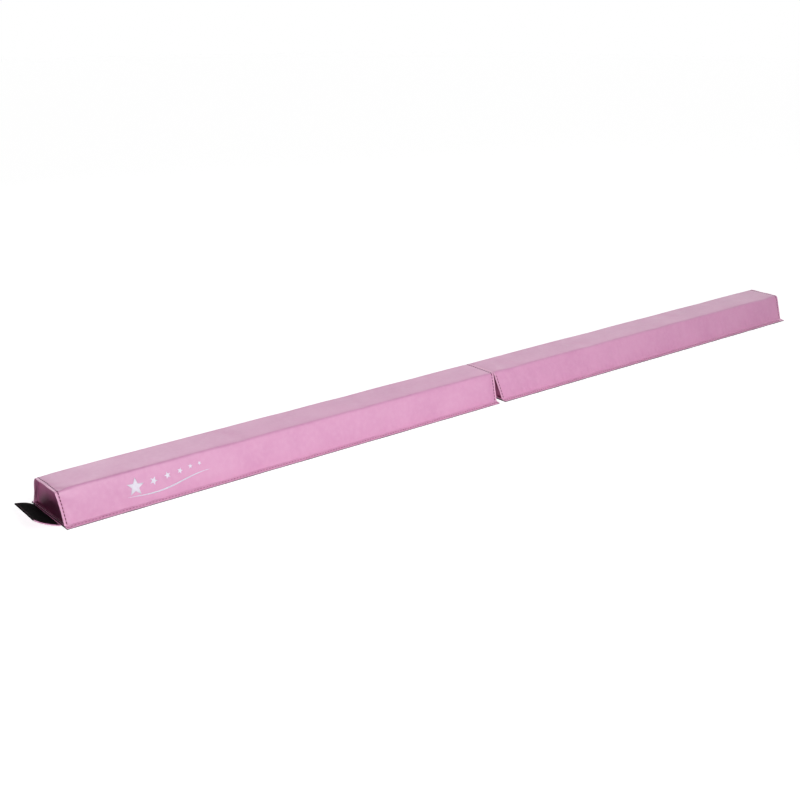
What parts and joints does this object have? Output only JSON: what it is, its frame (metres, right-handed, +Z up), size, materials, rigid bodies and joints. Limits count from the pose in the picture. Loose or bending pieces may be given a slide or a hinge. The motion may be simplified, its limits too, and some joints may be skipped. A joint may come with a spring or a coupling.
{
  "type": "folding floor balance beam",
  "caption": "Low trapezoid balance beam of sewn pink vinyl over foam, hinged across the top so it folds in half, with a hook-and-loop connector flap at one end.",
  "frame": {"origin": "on the floor, under the middle of the whole footprint with the connector flap included, so the fold line is at x = +0.0253 m", "axes": "+X lengthwise from the flap end to the plain end, +Y to the back, +Z up"},
  "size_m": [2.1506, 0.152, 0.0636],
  "materials": {
    "cover_vinyl": "semi-gloss coated fabric",
    "base_vinyl": "matt non-slip coated fabric",
    "hook_pile": "matt hook pile",
    "loop_pile": "matt loop pile",
    "thread": "matt sewing thread",
    "foam": "closed-cell foam"
  },
  "bodies": {
    "near_half": {"near_cover": "cover_vinyl", "near_base_panel": "base_vinyl", "near_base_seam_thread": "thread", "near_outer_end_panel": "cover_vinyl", "near_outer_end_thread": "thread", "near_inner_end_panel": "cover_vinyl", "near_inner_end_thread": "thread", "near_foam_lower": "foam", "near_foam_middle": "foam", "near_foam_upper": "foam", "hinge_strip": "cover_vinyl", "hinge_thread": "thread"},
    "far_half": {"far_cover": "cover_vinyl", "far_base_panel": "base_vinyl", "far_base_seam_thread": "thread", "far_outer_end_panel": "cover_vinyl", "far_outer_end_thread": "thread", "far_inner_end_panel": "cover_vinyl", "far_inner_end_thread": "thread", "far_foam_lower": "foam", "far_foam_middle": "foam", "far_foam_upper": "foam", "far_loop_strip": "loop_pile", "far_loop_thread": "thread"},
    "connector_flap": {"flap_backing": "cover_vinyl", "flap_hook_strip": "hook_pile", "flap_thread": "thread"}
  },
  "joints": [
    {"name": "fold_hinge", "type": "hinge", "parent": "near_half", "child": "far_half", "pos_m": [0.02529, 0, 0.0641], "axis": [0, -1, 0], "range_deg": [0, 180], "deforming": ["hinge_strip"]},
    {"name": "flap_hinge", "type": "hinge", "parent": "near_half", "child": "connector_flap", "pos_m": [-1.02551, 0, 0.0025], "axis": [0, 1, 0], "range_deg": [-21, 57], "stiffness_Nm_per_rad": 0.02}
  ]
}
